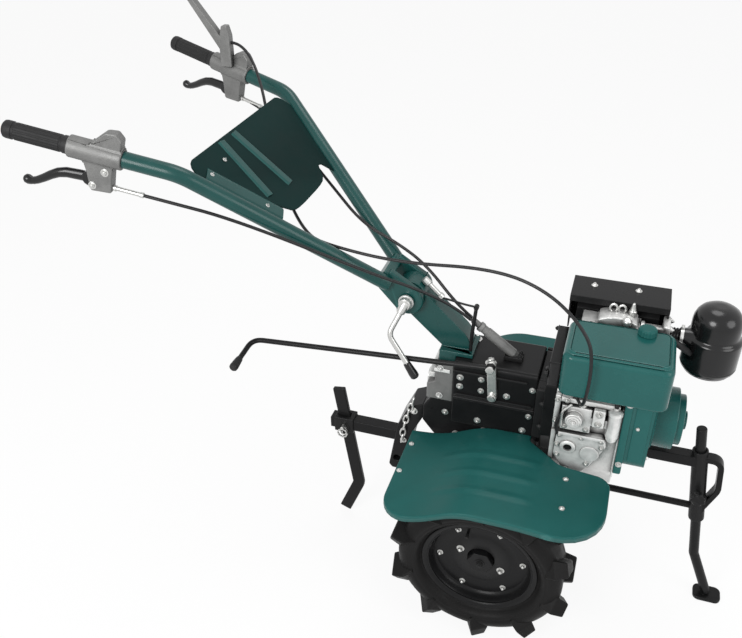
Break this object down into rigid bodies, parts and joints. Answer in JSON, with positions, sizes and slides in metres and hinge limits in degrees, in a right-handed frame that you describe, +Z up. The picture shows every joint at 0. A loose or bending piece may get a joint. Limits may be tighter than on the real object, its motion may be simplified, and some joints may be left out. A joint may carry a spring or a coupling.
{
  "type": "power weeder",
  "caption": "Walk-behind two-wheel diesel power weeder with lugged tyres, green fenders, splayed handlebars and a front stand.",
  "frame": {"origin": "on the floor, under the middle of the bounding box", "axes": "+X forward to the engine end, +Y to the left, +Z up"},
  "size_m": [1.473, 0.67, 1.232],
  "materials": {
    "tyre": "matte",
    "black_paint": "satin",
    "steel": "satin",
    "alloy": "matte",
    "green_paint": "gloss",
    "tray_paint": "satin",
    "black_plastic": "gloss",
    "rubber": "matte",
    "cable": "satin"
  },
  "bodies": {
    "chassis": {"gear_case_upper": "black_paint", "bell_housing": "black_paint", "axle_case": "black_paint", "gear_lever": "black_paint", "muffler": "black_paint", "muffler_guard": "black_paint", "engine_bed": "black_paint", "hitch_bracket": "black_paint", "hitch_tube": "black_paint", "stand_frame": "black_paint", "stand_knob": "black_paint", "shift_arm": "steel", "clamp_crank": "steel", "stake_pin": "steel", "clutch_rod": "steel", "tank_brackets": "steel", "gear_case_rear": "alloy", "crankcase": "alloy", "side_cover": "alloy", "injection_pump": "alloy", "cylinder": "alloy", "cylinder_head": "alloy", "intake_pipe": "alloy", "fender_right": "green_paint", "fender_left": "green_paint", "handle_bracket": "green_paint", "fuel_tank": "green_paint", "tank_cap": "green_paint", "blower_housing": "green_paint", "recoil_starter": "green_paint", "air_cleaner": "black_plastic", "crank_knob": "black_plastic", "gear_lever_grip": "rubber"},
    "wheel_right": {"tyre_right": "tyre", "rim_right": "black_paint", "hub_right": "black_paint"},
    "wheel_left": {"tyre_left": "tyre", "rim_left": "black_paint", "hub_left": "black_paint"},
    "handlebar": {"handle_hub": "green_paint", "handle_tube_right": "green_paint", "handle_tube_left": "green_paint", "tray_panel": "tray_paint", "lever_housing_right": "alloy", "lever_housing_left": "alloy", "hand_lever_right": "black_plastic", "hand_lever_left": "black_plastic", "grip_right": "rubber", "grip_left": "rubber", "throttle_lever": "steel", "clutch_cable_right": "cable", "clutch_cable_left": "cable", "throttle_cable": "cable"},
    "front_leg": {"stand_leg": "black_paint"},
    "stake": {"drag_stake": "black_paint"}
  },
  "joints": [
    {"name": "wheel_right_spin", "type": "hinge", "parent": "chassis", "child": "wheel_right", "pos_m": [0.1975, -0.228, 0.2], "axis": [0, 1, 0], "continuous": true},
    {"name": "wheel_left_spin", "type": "hinge", "parent": "chassis", "child": "wheel_left", "pos_m": [0.1975, 0.228, 0.2], "axis": [0, 1, 0], "continuous": true},
    {"name": "handlebar_tilt", "type": "hinge", "parent": "chassis", "child": "handlebar", "pos_m": [-0.0345, 0, 0.712], "axis": [0, 1, 0], "range_deg": [-20, 10], "deforming": ["clutch_cable_right", "clutch_cable_left", "throttle_cable"]},
    {"name": "front_leg_slide", "type": "slide", "parent": "chassis", "child": "front_leg", "axis": [-0.143, 0, 0.9897], "range_m": [0, 0.1]},
    {"name": "stake_slide", "type": "slide", "parent": "chassis", "child": "stake", "axis": [-0.1573, 0, 0.9875], "range_m": [0, 0.15]}
  ]
}
